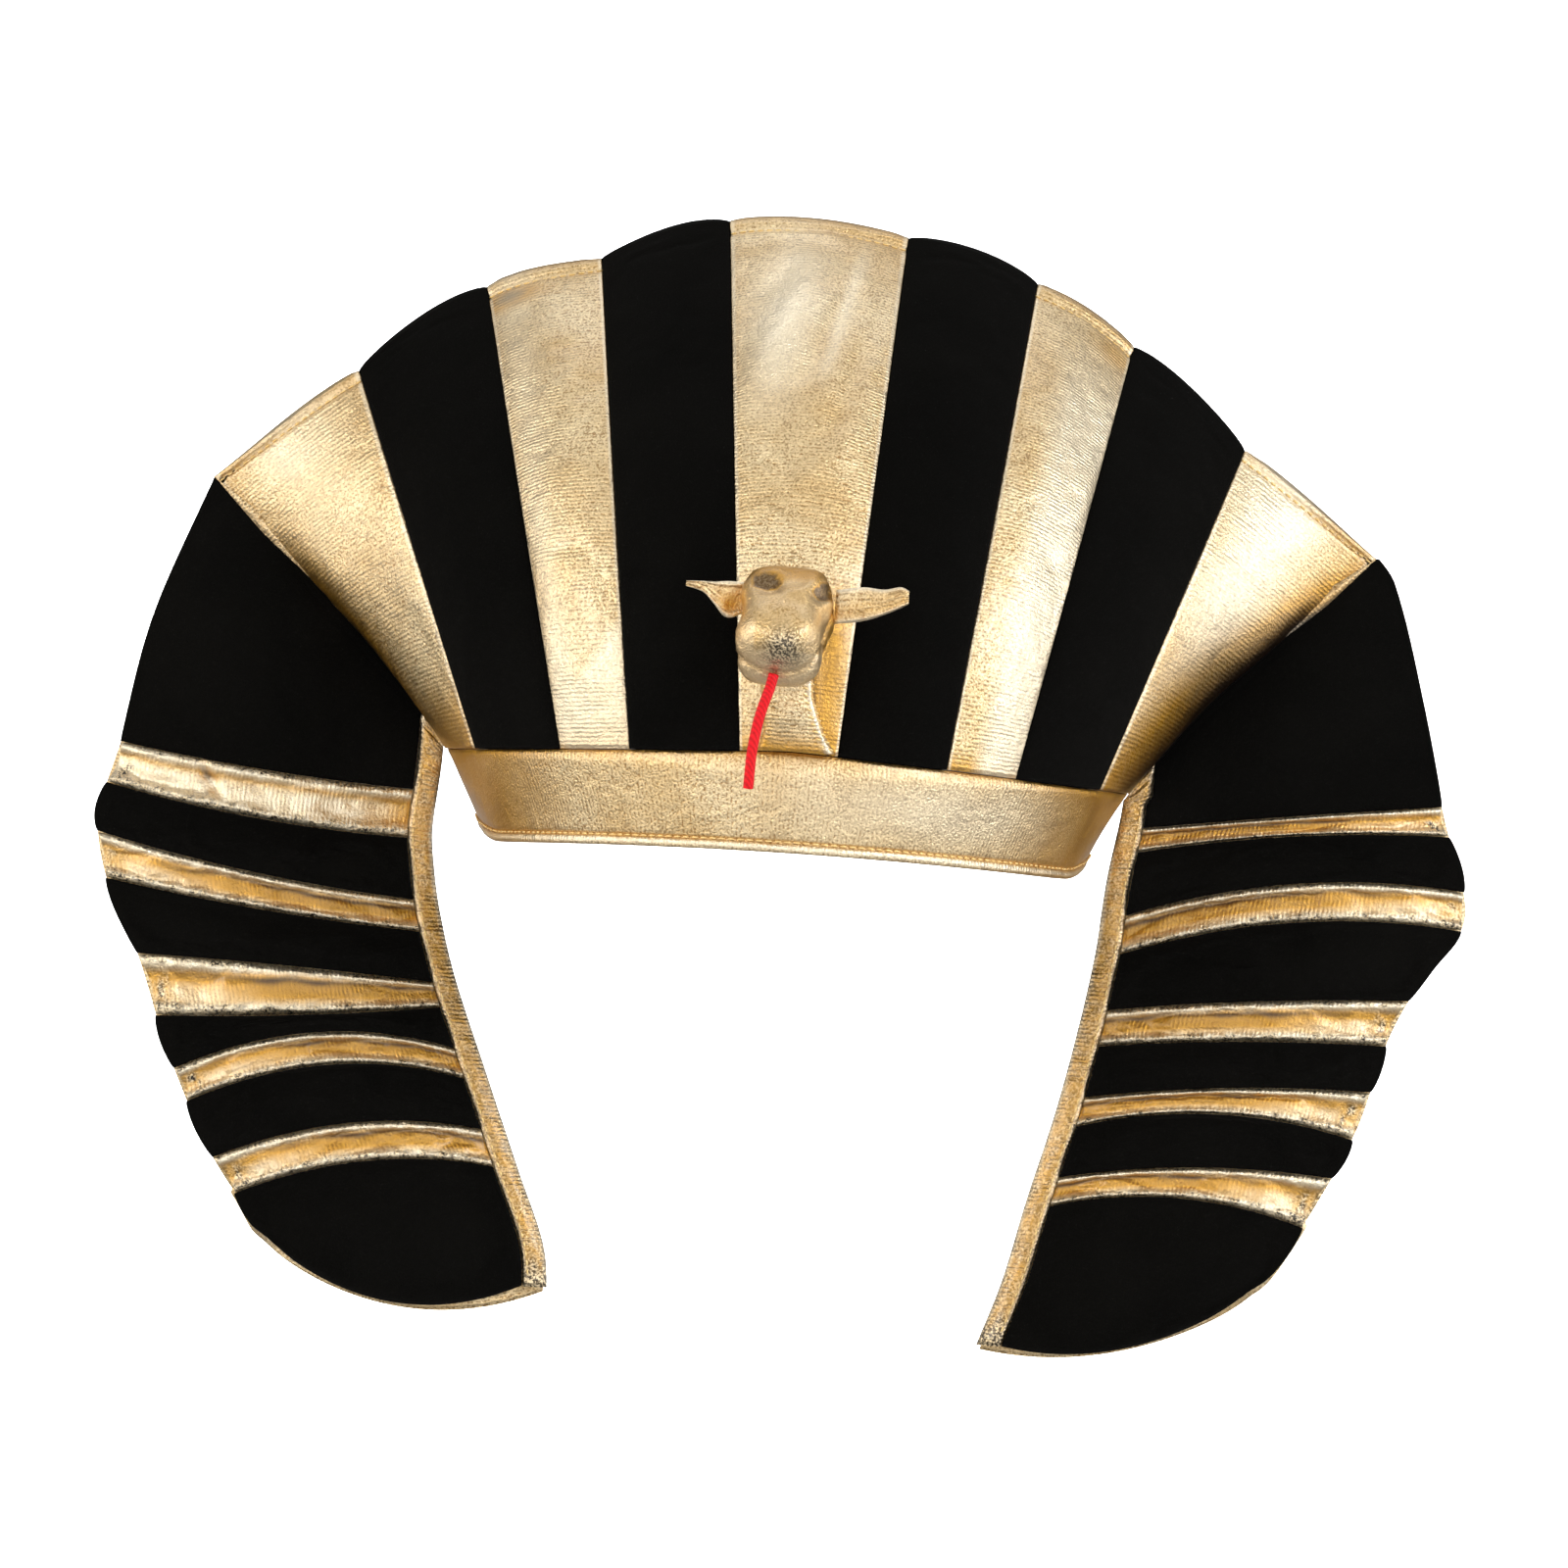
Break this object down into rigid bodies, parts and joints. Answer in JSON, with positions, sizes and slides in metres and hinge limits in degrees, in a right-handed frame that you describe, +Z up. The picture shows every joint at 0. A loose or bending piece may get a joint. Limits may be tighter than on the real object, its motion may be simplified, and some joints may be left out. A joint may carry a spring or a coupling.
{
  "type": "pharaoh headdress",
  "caption": "Padded costume headdress: gold and black striped fan crown, brow band, hanging striped lappets and a stuffed cobra with a red cord tongue.",
  "frame": {"origin": "middle of the head opening at the height of the front rim", "axes": "+X is the viewer's right seen from the front, -Y is forward, +Z is up"},
  "size_m": [0.3977, 0.2545, 0.326],
  "materials": {
    "gold_lame": "crinkled gold foil knit with fine ribs, padded, glossy",
    "black_velvet": "deep black velvet, padded, matte",
    "red_cord": "flat red cord, matte"
  },
  "bodies": {
    "root": {"brow_band": "gold_lame", "back_band": "black_velvet", "fan_gold_1": "gold_lame", "fan_velvet_2": "black_velvet", "fan_gold_3": "gold_lame", "fan_velvet_4": "black_velvet", "fan_gold_5": "gold_lame", "fan_velvet_6": "black_velvet", "fan_gold_7": "gold_lame", "fan_velvet_8": "black_velvet", "fan_gold_9": "gold_lame", "hood": "black_velvet", "lappet_left_velvet_1": "black_velvet", "lappet_left_gold_1": "gold_lame", "lappet_left_velvet_2": "black_velvet", "lappet_left_gold_2": "gold_lame", "lappet_left_velvet_3": "black_velvet", "lappet_left_gold_3": "gold_lame", "lappet_left_velvet_4": "black_velvet", "lappet_left_gold_4": "gold_lame", "lappet_left_velvet_5": "black_velvet", "lappet_left_gold_5": "gold_lame", "lappet_left_velvet_6": "black_velvet", "lappet_left_binding": "gold_lame", "lappet_left_lining": "gold_lame", "lappet_right_velvet_1": "black_velvet", "lappet_right_gold_1": "gold_lame", "lappet_right_velvet_2": "black_velvet", "lappet_right_gold_2": "gold_lame", "lappet_right_velvet_3": "black_velvet", "lappet_right_gold_3": "gold_lame", "lappet_right_velvet_4": "black_velvet", "lappet_right_gold_4": "gold_lame", "lappet_right_velvet_5": "black_velvet", "lappet_right_gold_5": "gold_lame", "lappet_right_velvet_6": "black_velvet", "lappet_right_binding": "gold_lame", "lappet_right_lining": "gold_lame", "cobra_neck": "gold_lame", "cobra_head": "gold_lame", "cobra_ear_left": "gold_lame", "cobra_ear_right": "gold_lame", "tongue": "red_cord"}
  },
  "joints": []
}
